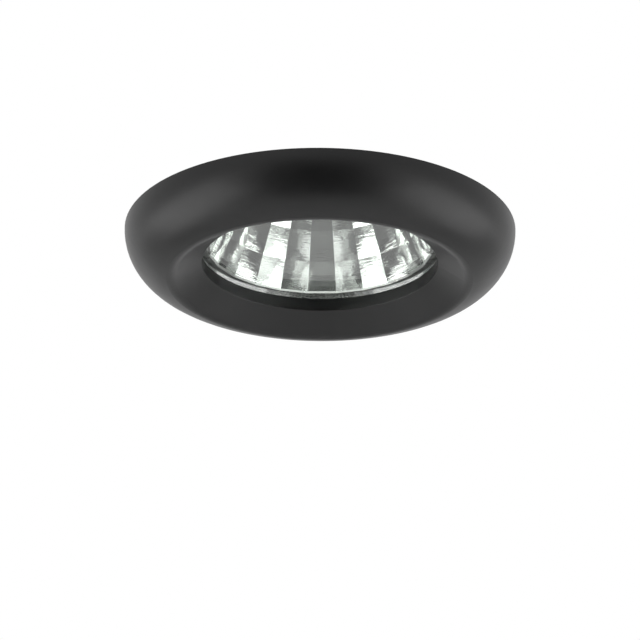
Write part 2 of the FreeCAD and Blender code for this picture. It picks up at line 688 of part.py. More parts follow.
def terminal_block():
    """Two barrels side by side on a plate, each with two towers for its clamping screws."""
    seat = bracket_seat
    plate = block(-BLOCK_HALF_WIDTH, BLOCK_HALF_WIDTH, seat - BLOCK_PLATE, seat, BLOCK_LOW, block_top)
    plate = plate.makeFillet(BLOCK_CORNER, edges_along_y(plate))
    body = plate.fuse([cylinder(BARREL_RADIUS, BLOCK_LOW, block_top, x, y) for x, y in pole_places()])
    towers = [across(TOWER_RADIUS, V(x, tower_front, z), TOWER_HEIGHT) for x, z in clamp_screw_places()]
    body = body.fuse(towers)
    cuts = [cylinder(MOUTH_RADIUS, BLOCK_LOW, block_top, x, y) for x, y in pole_places()]
    cuts += [cylinder(TUBE_RADIUS, tube_low, tube_low + TUBE_LENGTH, x, y) for x, y in pole_places()]
    cuts += [across(TUBE_BORE, V(x, tower_front, z), TOWER_HEIGHT) for x, z in clamp_screw_places()]
    cuts.append(across(SCREW_RADIUS + SHAFT_FIT, V(0, seat - BLOCK_PLATE, block_middle), BLOCK_PLATE))
    return body.cut(cuts)


def terminal_tubes():
    tubes = [ring(TUBE_BORE, TUBE_RADIUS, tube_low, tube_low + TUBE_LENGTH) for _ in pole_places()]
    for tube, (x, y) in zip(tubes, pole_places()):
        tube.translate(V(x, y, 0))
    hole = SCREW_RADIUS + SHAFT_FIT
    holes = [across(hole, V(x, tower_front, z), TOWER_HEIGHT) for x, z in clamp_screw_places()]
    return compound([tube.cut(holes) for tube in tubes])


def terminal_screws():
    """Headless screws with a slot, whose tips press on the leads."""
    length = TOWER_HEIGHT - LEAD_RADIUS - CLAMP_SCREW_HEAD
    screws = []
    for x, z in clamp_screw_places():
        screw = across(SCREW_RADIUS, V(x, tower_front + CLAMP_SCREW_HEAD, z), length)
        face = tower_front + CLAMP_SCREW_HEAD
        half = RECESS_WIDTH / 2
        slot = block(x - SCREW_RADIUS, x + SCREW_RADIUS, face, face + RECESS_DEPTH, z - half, z + half)
        screws.append(screw.cut(slot))
    return compound(screws)


def facing_front(screw, place):
    """Points a screw along +Y, with its head's underside at this place."""
    screw.rotate(ORIGIN, ALONG_X, 90)
    screw.translate(place)
    return screw


def block_screw():
    return facing_front(pan_screw(BLOCK_SCREW_LENGTH), V(0, bracket_seat - BLOCK_PLATE, block_middle))


def foot_plate():
    """The foot that every bracket stands on, drawn on the +X side."""
    half_angle = FOOTING_HALF_ANGLE - FOOT_ANGLE_ROOM
    foot = sector(bracket_seat, foot_outer, FOOTING_HEIGHT, foot_top, half_angle)
    return foot.cut([cylinder(SCREW_RADIUS + SHAFT_FIT, 0, foot_top, p.x, p.y) for p in foot_screw_places(0)])


def foot_screws(turn):
    screws = [pan_screw(FOOT_SCREW_LENGTH) for _ in range(2)]
    for screw, place in zip(screws, foot_screw_places(turn)):
        screw.translate(place)
    return compound(screws)


def terminal_bracket():
    """Bent sheet: a foot, and a tall plate that is narrow between the foot's screws and wider above."""
    low, wide = RISER_HALF_WIDTH_LOW, RISER_HALF_WIDTH
    right = [
        (low, FOOTING_HEIGHT),
        (low, RISER_SHOULDER_LOW),
        (wide, RISER_SHOULDER_HIGH),
        (wide, RISER_TOP),
    ]
    left = [(-x, z) for x, z in reversed(right)]
    riser = closed_face([V(x, bracket_seat, z) for x, z in right + left]).extrude(V(0, RISER_SHEET, 0))
    top_corners = [e for e in edges_along_y(riser) if e.CenterOfMass.z > RISER_TOP - RISER_CORNER]
    riser = riser.makeFillet(RISER_CORNER, top_corners)
    holes = [(0.0, block_middle)] + [(side * SADDLE_SCREW_OFFSET, SADDLE_MIDDLE) for side in (-1, 1)]
    hole = SCREW_RADIUS + SHAFT_FIT
    riser = riser.cut([across(hole, V(x, bracket_seat, z), RISER_SHEET) for x, z in holes])
    return riser.fuse(spun(foot_plate(), 90)).removeSplitter()


def saddle_screw_places():
    front = bracket_seat - SADDLE_FOOT
    return [V(side * SADDLE_SCREW_OFFSET, front, SADDLE_MIDDLE) for side in (-1, 1)]


def cord_clamp():
    """A moulded saddle: an arch over the cable, with a foot on each side."""
    seat = bracket_seat
    low, high = SADDLE_MIDDLE - SADDLE_WIDTH / 2, SADDLE_MIDDLE + SADDLE_WIDTH / 2
    centre = seat - SADDLE_LIFT
    reach = SADDLE_SCREW_OFFSET + SCREW_HEAD_RADIUS
    foot = block(-reach, reach, seat - SADDLE_FOOT, seat, low, high)
    foot = foot.makeFillet(SADDLE_CORNER, edges_along_y(foot))
    arch = cylinder(SADDLE_BORE + SADDLE_WALL, low, high, 0, centre)
    arch = arch.common(block(-reach, reach, centre - reach, seat, low, high))
    tunnel = cylinder(SADDLE_BORE, low, high, 0, centre)
    tunnel = tunnel.fuse(block(-SADDLE_BORE, SADDLE_BORE, centre, seat, low, high))
    hole = SCREW_RADIUS + SHAFT_FIT
    holes = [across(hole, place, SADDLE_FOOT) for place in saddle_screw_places()]
    return foot.fuse(arch).cut([tunnel] + holes)


def cord_clamp_screws():
    return compound([facing_front(pan_screw(SADDLE_SCREW_LENGTH), place) for place in saddle_screw_places()])


# --- Sprung arms: each piece is made for the +X side and turned half round for the other ------------
def clip_bracket():
    """Bent sheet: a foot, a back plate, and two round-nosed ears for the pin."""
    back = bracket_seat
    top = pin_place.z - SHAFT_FIT
    pieces = [block(back, back + BRACKET_SHEET, -ear_outer, ear_outer, FOOTING_HEIGHT, top), foot_plate()]
    for side in (-1, 1):
        y = min(side * ear_inner, side * ear_outer)
        outline = [
            V(back, y, FOOTING_HEIGHT),
            V(back + EAR_FOOT_DEPTH, y, FOOTING_HEIGHT),
            V(pin_place.x + EAR_RADIUS, y, pin_place.z),
            V(back, y, pin_place.z),
        ]
        pieces.append(closed_face(outline).extrude(V(0, BRACKET_SHEET, 0)))
        pieces.append(across(EAR_RADIUS, V(pin_place.x, y, pin_place.z), BRACKET_SHEET))
    bore = across(PIN_RADIUS, V(pin_place.x, -ear_outer, pin_place.z), 2 * ear_outer)
    return pieces[0].fuse(pieces[1:]).cut(bore).removeSplitter()


def clip_pin():
    shaft = across(PIN_RADIUS, V(0, -ear_outer, 0), 2 * ear_outer)
    for side in (-1, 1):
        head = Part.makeCylinder(PIN_HEAD_RADIUS, PIN_HEAD_HEIGHT, V(0, side * ear_outer, 0), ALONG_Y * side)
        circles = [e for e in head.Edges if isinstance(e.Curve, Part.Circle)]
        rim = [e for e in circles if abs(e.Curve.Center.y) > ear_outer + PIN_HEAD_HEIGHT / 2]
        shaft = shaft.fuse(head.makeFillet(HEAD_ROUND, rim))
    shaft.translate(pin_place)
    return shaft


def on_arm(shape):
    """Moves a shape drawn round the pin, with the arm along +X, to the arm's resting place."""
    shape.rotate(ORIGIN, ALONG_Y, ARM_DROOP)
    shape.translate(pin_place)
    return shape


def arm_strip(half_sheet, start, half_width):
    """A strip of the arm's web: straight, then turned up at the tip by a round bend."""
    middle = (web_top + web_bottom) / 2
    centre = V(ARM_LENGTH, 0, middle + ARM_TIP_RADIUS)
    turn = math.radians(ARM_TIP_TURN)

    def on_bend(radius, share):
        return centre + V(radius * math.sin(turn * share), 0, -radius * math.cos(turn * share))

    low, high = ARM_TIP_RADIUS + half_sheet, ARM_TIP_RADIUS - half_sheet
    edges = [
        Part.makeLine(V(start, 0, middle - half_sheet), on_bend(low, 0)),
        Part.Arc(on_bend(low, 0), on_bend(low, 0.5), on_bend(low, 1)).toShape(),
        Part.makeLine(on_bend(low, 1), on_bend(high, 1)),
        Part.Arc(on_bend(high, 1), on_bend(high, 0.5), on_bend(high, 0)).toShape(),
        Part.makeLine(on_bend(high, 0), V(start, 0, middle + half_sheet)),
        Part.makeLine(V(start, 0, middle + half_sheet), V(start, 0, middle - half_sheet)),
    ]
    strip = Part.Face(Part.Wire(edges)).extrude(V(0, 2 * half_width, 0))
    strip.translate(V(0, -half_width, 0))
    return strip


def arm_plan(grow=0.0):
    """The arm seen from above: full width over the cheeks, tapering to the tip."""
    reach = ARM_LENGTH + 2 * ARM_TIP_RADIUS
    root, tip = ARM_HALF_WIDTH + grow, ARM_TIP_HALF_WIDTH + grow
    half = [(-ARM_HALF_WIDTH, root), (ARM_WEB_START, root), (ARM_FLANGE_END, tip), (reach, tip)]
    mirrored = [(x, -y) for x, y in reversed(half)]
    return closed_face([V(x, y, -ARM_LENGTH) for x, y in half + mirrored]).extrude(V(0, 0, 2 * ARM_LENGTH))


def arm_sheet():
    return arm_strip(ARM_SHEET / 2, ARM_WEB_START, ARM_HALF_WIDTH).common(arm_plan())


def clip_arm():
    """A channel of bent sheet: web, two cheeks round the pin, and side flanges that fade out."""
    droop = math.radians(ARM_DROOP)
    heel = (PIN_STANDOFF - SHAFT_FIT - CHEEK_DEPTH * math.sin(droop)) / math.cos(droop)
    outline = [
        V(-heel, 0, -CHEEK_DEPTH),
        V(ARM_WEB_START, 0, -CHEEK_DEPTH),
        V(ARM_FLANGE_END, 0, web_bottom),
        V(ARM_FLANGE_END, 0, web_top),
        V(0, 0, web_top),
        V(-heel, 0, 0),
    ]
    cheek = closed_face(outline).extrude(V(0, 2 * ARM_HALF_WIDTH, 0))
    cheek = cheek.fuse(across(CHEEK_RADIUS, ORIGIN, 2 * ARM_HALF_WIDTH))
    cheek.translate(V(0, -ARM_HALF_WIDTH, 0))
    cheeks = cheek.common(arm_plan()).cut(arm_plan(-ARM_SHEET))
    bore = across(PIN_RADIUS + SHAFT_FIT, V(0, -ARM_HALF_WIDTH, 0), 2 * ARM_HALF_WIDTH)
    return on_arm(arm_sheet().fuse(cheeks).cut(bore).removeSplitter())


def clip_pad():
    """A soft sleeve pulled over the arm's tip, so that it doesn't mark the board."""
    outer = arm_strip(ARM_SHEET / 2 + PAD_WALL, ARM_LENGTH - PAD_LENGTH, ARM_TIP_HALF_WIDTH + PAD_WALL)
    return on_arm(outer.cut(arm_sheet()))


def arc_middle(start, heading, end):
    """The middle of the arc that leaves start along heading and ends at end."""
    chord = end - start
    sideways = chord - heading * chord.dot(heading)
    radius = chord.dot(chord) / (2 * sideways.Length)
    centre = start + sideways * (radius / sideways.Length)
    outwards = (start + end) * 0.5 - centre
    return centre + outwards * (radius / outwards.Length)


def biarc(start, heading, end, arrival):
    """Two tangent arcs from start to end, with the headings given there."""
    chord, both = end - start, heading + arrival
    spread = 2 * (1 - heading.dot(arrival))
    along = chord.dot(both)
    reach = (math.sqrt(along**2 + spread * chord.dot(chord)) - along) / spread
    joint = (start + heading * reach + end - arrival * reach) * 0.5
    first = Part.Arc(start, arc_middle(start, heading, joint), joint)
    second = Part.Arc(joint, arc_middle(end, arrival * -1, joint), end)
    return [first.toShape(), second.toShape()]


def coil_station(wound, whole):
    """A point of the coil and its heading. It starts beside the bracket and goes up over the pin."""
    angle = math.pi - wound
    y = COIL_PITCH * (wound - whole / 2) / (2 * math.pi)
    climb = 0.0 if wound in (0.0, whole) else COIL_PITCH / (2 * math.pi)
    point = V(COIL_RADIUS * math.cos(angle), y, COIL_RADIUS * math.sin(angle))
    heading = V(COIL_RADIUS * math.sin(angle), climb, -COIL_RADIUS * math.cos(angle))
    return point, heading * (1 / heading.Length)


def self_gap(path, diameter):
    """Least free gap between stretches of a wound wire that are over half a turn apart along it."""
    points = path.discretize(Distance=GAP_SAMPLE)
    step = path.Length / (len(points) - 1)
    apart = int(math.pi * COIL_RADIUS / step)
    return min(a.distanceToPoint(b) for i, a in enumerate(points) for b in points[i + apart :]) - diameter


def clip_spring():
    """One wire: a leg up the bracket, the coil round the pin, and a leg lying on the arm's web."""
    whole = 2 * math.pi * COIL_TURNS + math.pi / 2 + math.radians(ARM_DROOP)
    count = math.ceil(whole / (math.pi / 2))
    stations = [coil_station(whole * i / count, whole) for i in range(count + 1)]
    first, last = stations[0], stations[-1]
    edges = [Part.makeLine(first[0] - first[1] * FIXED_LEG, first[0])]
    for (start, heading), (end, arrival) in zip(stations, stations[1:]):
        edges += biarc(start, heading, end, arrival)
    edges.append(Part.makeLine(last[0], last[0] + last[1] * MOVING_LEG))
    spring, path = swept_wire(WIRE_RADIUS, edges, first[1])
    print("spring's least gap to itself", round(self_gap(path, 2 * WIRE_RADIUS), 3))
    spring.translate(pin_place)
    return spring


# --- All nodes --------------------------------------------------------------------------------------
NODES = {
    "trim_ring": trim_ring,
    "soffit_gasket": soffit_gasket,
    "retaining_ring": retaining_ring,
    "lamp_reflector": lamp_reflector,
    "lamp_cover_glass": lamp_cover_glass,
    "lamp_capsule": lamp_capsule,
    "lamp_filament": lamp_filament,
    "lamp_base": lamp_base,
    "lamp_pins": lamp_pins,
    "holder_body": holder_body,
    "holder_cover": holder_cover,
    "holder_rivets": holder_rivets,
    "holder_contacts": holder_contacts,
    "lead_live": lambda: lead(-1),
    "lead_neutral": lambda: lead(1),
    "terminal_bracket": terminal_bracket,
    "terminal_bracket_screws": lambda: foot_screws(90),
    "terminal_block": terminal_block,
    "terminal_tubes": terminal_tubes,
    "terminal_screws": terminal_screws,
    "block_screw": block_screw,
    "cord_clamp": cord_clamp,
    "cord_clamp_screws": cord_clamp_screws,
}
CLIP_NODES = {
    "clip_bracket": clip_bracket,
    "clip_bracket_screws": lambda: foot_screws(0),
    "clip_pin": clip_pin,
    "clip_spring": clip_spring,
    "clip_arm": clip_arm,
    "clip_pad": clip_pad,
}


def export(name, shape):
    solids = shape.Solids
    if not solids or not all(s.isValid() and s.Volume > 0 for s in solids):
        raise RuntimeError(f"{name} is not made of sound solids")
    shape = solids[0] if len(solids) == 1 else compound(solids)
    shape.exportStep(os.path.join("parts", f"{name}.step"))


def main():
    os.makedirs("parts", exist_ok=True)
    for name, make in NODES.items():
        export(name, make())
    for name, make in CLIP_NODES.items():
        right, left = pair(make())
        export(f"{name}_right", right)
        export(f"{name}_left", left)


main()
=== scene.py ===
"""The looks of a round soffit downlight: materials, the lamp's mirror, springs, leads, studio and camera."""

import json
import math

import bpy
from mathutils import Matrix, Vector


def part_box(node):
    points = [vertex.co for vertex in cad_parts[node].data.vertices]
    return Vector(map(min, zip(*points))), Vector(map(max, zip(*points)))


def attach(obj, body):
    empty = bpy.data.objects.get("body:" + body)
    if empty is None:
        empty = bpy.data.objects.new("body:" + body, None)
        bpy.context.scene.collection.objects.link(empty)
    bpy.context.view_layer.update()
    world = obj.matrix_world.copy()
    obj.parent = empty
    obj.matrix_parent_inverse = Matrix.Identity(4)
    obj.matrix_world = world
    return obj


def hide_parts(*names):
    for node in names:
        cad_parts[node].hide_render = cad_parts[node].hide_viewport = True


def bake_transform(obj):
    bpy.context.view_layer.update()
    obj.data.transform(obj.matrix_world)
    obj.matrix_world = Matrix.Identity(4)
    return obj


MM = 0.001
FULL_TURN = 2 * math.pi

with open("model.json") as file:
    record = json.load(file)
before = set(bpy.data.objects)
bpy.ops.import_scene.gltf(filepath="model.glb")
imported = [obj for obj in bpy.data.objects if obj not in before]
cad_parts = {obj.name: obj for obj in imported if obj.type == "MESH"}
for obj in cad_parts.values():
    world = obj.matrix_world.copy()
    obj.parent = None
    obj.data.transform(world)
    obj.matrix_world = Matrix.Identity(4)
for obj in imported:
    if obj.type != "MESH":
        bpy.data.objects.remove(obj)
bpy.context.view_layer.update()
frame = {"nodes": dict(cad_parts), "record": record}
nodes = frame["nodes"]
SIDES = {"right": 1, "left": -1}

# --- Camera and studio, in metres --------------------------------------------------------------------
CAMERA_DISTANCE = 0.5882
CAMERA_BELOW = 24.49  # degrees that the camera is below the board, looking up along +Y
CAMERA_ROLL = -0.37
CAMERA_AIM = Vector((0.00011, 0.00748, -0.01642))
CAMERA_LENS = 157.35  # mm, on Blender's sensor of 36 mm
BOARD_RADIUS = 0.45
BOARD_HOLE = 0.035
BOARD_LIFT = 0.00005
FLOOR_HEIGHT = -0.62
FLOOR_RADIUS = 2.5
FLOOR_HOLE = 0.0001
DISC_SIDES = 96  # of the board and the floor
CARD_HALF_WIDTH = 0.55  # of the dark card on the camera's side: it lies on the floor and stands up behind
CARD_START = -0.25
CARD_END = -1.0
CARD_LIFT = 0.005
WORLD_GREY = 0.1

LIGHT_AIM = (0, 0, -0.005)
LIGHTS_ROUND = (  # name, degrees round from the camera, degrees below the board, distance, size, radiance
    ("soft_box_right", 88, 35, 0.75, (0.88, 0.64), 2.9),
    ("front_fill_right", 44.4, 18, 0.9, (0.44, 0.4), 0.8),
    ("soft_box_left", -88, 35, 0.75, (0.88, 0.64), 2.9),
    ("front_fill_left", -49.6, 18, 0.9, (0.44, 0.4), 0.8),
    ("back_fill", 180, 26, 0.9, (1.3, 0.6), 0.45),
)
LIGHTS_PLACED = (  # name, place, aim, size, radiance
    ("bounce_below", (0, 0.2, FLOOR_HEIGHT + 0.01), (0, 0.2, 0), (0.7, 0.7), 0.5),
    ("soft_box_above", (0.3, 0.5, 1.1), (0, 0, 0.03), (0.9, 0.9), 1.6),
    ("fill_above", (-0.5, -0.9, 0.9), (0, 0, 0.03), (0.8, 0.8), 1.2),
)

# --- Lamp's mirror -----------------------------------------------------------------------------------
FACET_COLUMNS = 24
FACET_ROWS = 5
FACET_ROW_HEIGHT = 6.15 * MM
FACET_TURN = math.radians(-1.3)
FACET_STEPS = 8  # quads along each side of a facet
FACET_BULGE = 0.1 * MM
MIRROR_MOUTH = 23.4 * MM
MOUTH_CHAMFER = 0.3 * MM
RIM_LIFT = 0.02 * MM  # of the flat rim from the cover glass
RIM_KNURLS = 204
MIRROR_THROAT = 6.6 * MM
MIRROR_DEPTH = 27.4 * MM
MIRROR_RIM_HEIGHT = 2.4 * MM
MIRROR_WALL = 2.0 * MM
MIRROR_NECK_WALL = 3.4 * MM
OUTSIDE_STEPS = 12

# --- Springs and leads -------------------------------------------------------------------------------
TUBE_SIDES = 14
COIL_RADIUS = 1.9 * MM
COIL_PITCH = 1.5 * MM
COIL_TURNS = 4
COIL_STEP = math.radians(12)
SPRING_WIRE = 0.45 * MM
FIXED_LEG = 7.0 * MM
MOVING_LEG = 12.0 * MM
ARM_DROOP = math.radians(16)
LEAD_RADIUS = 1.0 * MM
LEAD_STRAIGHT = 3.0 * MM
LEAD_STEPS = 24


# --- Materials ---------------------------------------------------------------------------------------
class Shader:
    """A material with a Principled shader, and short calls for the nodes that feed it."""

    def __init__(self, name, colour, roughness, metallic=0.0, **sockets):
        self.material = bpy.data.materials.new(name)
        self.material.use_nodes = True
        self.tree = self.material.node_tree
        self.shader = self.tree.nodes["Principled BSDF"]
        self.set("Base Color", (*colour, 1.0))
        self.set("Roughness", roughness)
        self.set("Metallic", metallic)
        for socket, value in sockets.items():
            self.set(socket.replace("_", " "), value)
        self.place = self.tree.nodes.new("ShaderNodeTexCoord").outputs["Object"]

    def set(self, socket, value):
        self.shader.inputs[socket].default_value = value

    def link(self, output, socket):
        self.tree.links.new(output, socket)

    def stretched(self, stretch):
        mapping = self.tree.nodes.new("ShaderNodeMapping")
        mapping.inputs["Scale"].default_value = stretch
        self.link(self.place, mapping.inputs["Vector"])
        return mapping.outputs["Vector"]

    def noise(self, scale, detail=3.0, stretch=(1, 1, 1)):
        texture = self.tree.nodes.new("ShaderNodeTexNoise")
        texture.inputs["Scale"].default_value = scale
        texture.inputs["Detail"].default_value = detail
        self.link(self.stretched(stretch), texture.inputs["Vector"])
        return texture.outputs["Fac"]

    def cells(self, scale, stretch=(1, 1, 1)):
        texture = self.tree.nodes.new("ShaderNodeTexVoronoi")
        texture.inputs["Scale"].default_value = scale
        self.link(self.stretched(stretch), texture.inputs["Vector"])
        return texture.outputs["Distance"]

    def maths(self, operation, *values):
        node = self.tree.nodes.new("ShaderNodeMath")
        node.operation = operation
        for socket, value in zip(node.inputs, values):
            if isinstance(value, (int, float)):
                socket.default_value = value
            else:
                self.link(value, socket)
        return node.outputs["Value"]

    def ridges(self, count):
        """A wave that runs round Z this many times."""
        split = self.tree.nodes.new("ShaderNodeSeparateXYZ")
        self.link(self.place, split.inputs["Vector"])
        angle = self.maths("ARCTAN2", split.outputs["Y"], split.outputs["X"])
        return self.maths("SINE", self.maths("MULTIPLY", angle, count))

    def between(self, factor, low, high):
        """Two colours or numbers, mixed by a texture."""
        numbers = isinstance(low, (int, float))
        mix = self.tree.nodes.new("ShaderNodeMix")
        mix.data_type = "FLOAT" if numbers else "RGBA"
        kind = 0 if numbers else 2  # of the node's number, vector and colour sockets
        first = [s for s in mix.inputs if s.name == "A"][kind]
        second = [s for s in mix.inputs if s.name == "B"][kind]
        first.default_value = low if numbers else (*low, 1.0)
        second.default_value = high if numbers else (*high, 1.0)
        self.link(factor, mix.inputs[0])
        return [s for s in mix.outputs if s.name == "Result"][kind]

    def colours(self, factor, low, high):
        self.link(self.between(factor, low, high), self.shader.inputs["Base Color"])

    def roughnesses(self, factor, low, high):
        self.link(self.between(factor, low, high), self.shader.inputs["Roughness"])

    def bump(self, height, depth, strength=1.0):
        """Adds a relief of this depth in metres to whatever relief there is."""
        node = self.tree.nodes.new("ShaderNodeBump")
        node.inputs["Strength"].default_value = strength
        node.inputs["Distance"].default_value = depth
        self.link(height, node.inputs["Height"])
        before = self.shader.inputs["Normal"].links
        if before:
            self.link(before[0].from_socket, node.inputs["Normal"])
        self.link(node.outputs["Normal"], self.shader.inputs["Normal"])


def powder_coat():
    coat = Shader("bezel_black", (0.0025, 0.0025, 0.0027), 0.4, Specular_IOR_Level=0.34)
    coat.roughnesses(coat.noise(220.0, 4.0), 0.36, 0.42)
    coat.bump(coat.noise(2600.0, 2.0), 0.000012, 0.5)
    coat.bump(coat.noise(420.0, 1.0), 0.00002, 0.25)
    return coat.material


def foam():
    pad = Shader("gasket_foam", (0.03, 0.03, 0.03), 0.9)
    pore_depth_and_painted_shade = pad.cells(2600.0)
    # The depth of each pit also darkens the colour at its bottom: painted shade in the foam's pits.
    pad.colours(pore_depth_and_painted_shade, (0.015, 0.015, 0.015), (0.06, 0.06, 0.06))
    pad.bump(pore_depth_and_painted_shade, 0.0002)
    return pad.material


def drawn_wire(name, colour):
    wire = Shader(name, colour, 0.28, 1.0)
    wire.roughnesses(wire.noise(900.0, 4.0, (1, 1, 0.1)), 0.18, 0.36)
    wire.bump(wire.noise(5000.0, 2.0, (1, 1, 0.05)), 0.000008, 0.6)
    return wire.material


def spring_sheet():
    sheet = Shader("spring_sheet", (0.56, 0.56, 0.57), 0.3, 1.0, Anisotropic=0.5)
    grain = sheet.noise(700.0, 5.0, (0.05, 1, 1))
    sheet.colours(grain, (0.5, 0.5, 0.51), (0.64, 0.64, 0.65))
    sheet.roughnesses(sheet.noise(160.0, 4.0), 0.22, 0.4)
    sheet.bump(grain, 0.00001, 0.5)
    return sheet.material


def zinc(name, rough):
    """Clear zinc plate: bluish, with faint clouds and a fine grain from the rolled sheet."""
    plate = Shader(name, (0.6, 0.62, 0.66), rough, 1.0)
    clouds = plate.noise(90.0, 5.0)
    plate.colours(clouds, (0.5, 0.53, 0.58), (0.7, 0.7, 0.72))
    plate.roughnesses(plate.noise(240.0, 5.0), rough - 0.08, rough + 0.1)
    plate.bump(plate.noise(3000.0, 3.0, (1, 1, 0.2)), 0.00001, 0.5)
    return plate.material


def mirror_coat():
    """Vapour-coated pressed glass, with the fine ripples that run round each facet."""
    mirror = Shader("mirror_facets", (0.83, 0.85, 0.83), 0.05, 1.0)
    mirror.roughnesses(mirror.noise(500.0, 3.0), 0.03, 0.09)
    mirror.bump(mirror.noise(1.0, 2.0, (260, 260, 2300)), 0.00004, 0.7)
    mirror.bump(mirror.noise(950.0, 2.0), 0.00003, 0.5)
    return mirror.material


def pressed_glass():
    """The lamp's outside: the mirror's coat seen through frosty pressed glass."""
    glass = Shader("pressed_glass", (0.2, 0.21, 0.21), 0.22, 0.6, Coat_Weight=0.6, Coat_Roughness=0.08)
    frost = glass.noise(420.0, 6.0)
    glass.colours(frost, (0.12, 0.125, 0.125), (0.42, 0.43, 0.43))
    glass.roughnesses(glass.noise(1300.0, 4.0), 0.1, 0.4)
    glass.bump(glass.cells(1900.0), 0.00004, 0.5)
    return glass.material


def rim_glass():
    """The lamp's flat rim: silvered glass with a knurled, frosty surface."""
    glass = Shader("rim_glass", (0.5, 0.51, 0.5), 0.3, 0.7)
    glass.colours(glass.noise(300.0, 5.0), (0.14, 0.145, 0.14), (0.5, 0.51, 0.5))
    glass.roughnesses(glass.noise(900.0, 3.0), 0.18, 0.45)
    glass.bump(glass.ridges(RIM_KNURLS), 0.0001, 0.8)
    glass.bump(glass.cells(1500.0), 0.00008, 0.6)
    return glass.material


def clear_glass(name, tint):
    glass = Shader(name, tint, 0.01, IOR=1.5, Transmission_Weight=1.0)
    glass.bump(glass.noise(120.0, 1.0), 0.000004, 0.3)
    return glass.material


def tungsten():
    wire = Shader("tungsten", (0.24, 0.24, 0.25), 0.45, 1.0)
    wire.bump(wire.noise(1.0, 0.0, (9000, 300, 300)), 0.0001)
    return wire.material


def ceramic(name, colour, dark):
    """Unglazed ceramic: chalky, with fine grains and faint stains."""
    body = Shader(name, colour, 0.72, Specular_IOR_Level=0.35)
    body.colours(body.noise(120.0, 6.0), dark, colour)
    body.roughnesses(body.noise(600.0, 3.0), 0.6, 0.85)
    body.bump(body.noise(3200.0, 4.0), 0.00003, 0.7)
    return body.material


def plated(name, low, high, rough):
    metal = Shader(name, high, rough, 1.0)
    metal.colours(metal.noise(260.0, 4.0), low, high)
    metal.roughnesses(metal.noise(800.0, 3.0), rough - 0.06, rough + 0.1)
    metal.bump(metal.noise(4000.0, 2.0), 0.000006, 0.5)
    return metal.material


def sleeve(name, low, high):
    """Woven glass-fibre sleeving, coated in colour, with painted shade darkening the hollows of the woven
    surface.
    """
    cover = Shader(name, high, 0.5, Specular_IOR_Level=0.4)
    weave_depth_and_painted_shade = cover.cells(2400.0, (1, 1, 0.6))
    # The relief's depth also darkens the colour in its hollows: painted shade.
    cover.colours(weave_depth_and_painted_shade, low, high)
    cover.bump(weave_depth_and_painted_shade, 0.00008, 0.6)
    return cover.material


def moulded(name, low, high, rough):
    """Moulded plastic with a fine spark-eroded texture."""
    plastic = Shader(name, high, rough, Subsurface_Weight=0.05, Subsurface_Scale=0.001)
    plastic.colours(plastic.noise(70.0, 4.0), low, high)
    plastic.roughnesses(plastic.noise(500.0, 3.0), rough - 0.08, rough + 0.08)
    plastic.bump(plastic.noise(3600.0, 3.0), 0.00002, 0.6)
    return plastic.material


def rubber():
    skin = Shader("pad_rubber", (0.02, 0.02, 0.02), 0.65, Specular_IOR_Level=0.4)
    skin.colours(skin.noise(150.0, 5.0), (0.012, 0.012, 0.012), (0.035, 0.034, 0.033))
    skin.bump(skin.noise(2800.0, 4.0), 0.00004, 0.6)
    return skin.material


materials = {
    "bezel_black": powder_coat(),
    "gasket_foam": foam(),
    "spring_wire": drawn_wire("spring_wire", (0.5, 0.5, 0.51)),
    "spring_sheet": spring_sheet(),
    "mirror_facets": mirror_coat(),
    "pressed_glass": pressed_glass(),
    "rim_glass": rim_glass(),
    "lamp_glass": clear_glass("lamp_glass", (0.97, 0.99, 0.975)),
    "tungsten": tungsten(),
    "lamp_ceramic": ceramic("lamp_ceramic", (0.8, 0.78, 0.72), (0.68, 0.65, 0.58)),
    "holder_ceramic": ceramic("holder_ceramic", (0.84, 0.83, 0.79), (0.76, 0.74, 0.68)),
    "nickel": plated("nickel", (0.5, 0.48, 0.44), (0.66, 0.64, 0.6), 0.3),
    "brass": plated("brass", (0.55, 0.4, 0.17), (0.75, 0.58, 0.28), 0.32),
    # The darker of each lead's two colours is painted shade in the hollows of the sleeving.
    "lead_brown": sleeve("lead_brown", (0.06, 0.02, 0.008), (0.2, 0.075, 0.03)),
    "lead_blue": sleeve("lead_blue", (0.01, 0.04, 0.16), (0.03, 0.12, 0.4)),
    "zinc_sheet": zinc("zinc_sheet", 0.36),
    "zinc_screws": zinc("zinc_screws", 0.28),
    "block_plastic": moulded("block_plastic", (0.76, 0.75, 0.7), (0.84, 0.83, 0.79), 0.42),
    "clamp_plastic": moulded("clamp_plastic", (0.68, 0.67, 0.62), (0.78, 0.77, 0.73), 0.5),
    "pad_rubber": rubber(),
}


def dress_nodes():
    """Gives every CAD node the material of its slot."""
    for part in frame["record"]["subparts"]:
        mesh = nodes[part["node"]].data
        mesh.materials.clear()
        mesh.materials.append(materials[part["material_slot"]])


# --- Mesh helpers ------------------------------------------------------------------------------------
def new_piece(name, vertices, faces, slot):
    mesh = bpy.data.meshes.new(name)
    mesh.from_pydata([tuple(v) for v in vertices], [], faces)
    mesh.materials.append(materials[slot])
    mesh.shade_smooth()
    mesh.update()
    piece = bpy.data.objects.new(name, mesh)
    bpy.context.scene.collection.objects.link(piece)
    return piece


def strip(first, second, count):
    """The quads between two closed rings of this many points, given by the rings' first indices."""
    return [
        (first + i, first + (i + 1) % count, second + (i + 1) % count, second + i) for i in range(count)
    ]


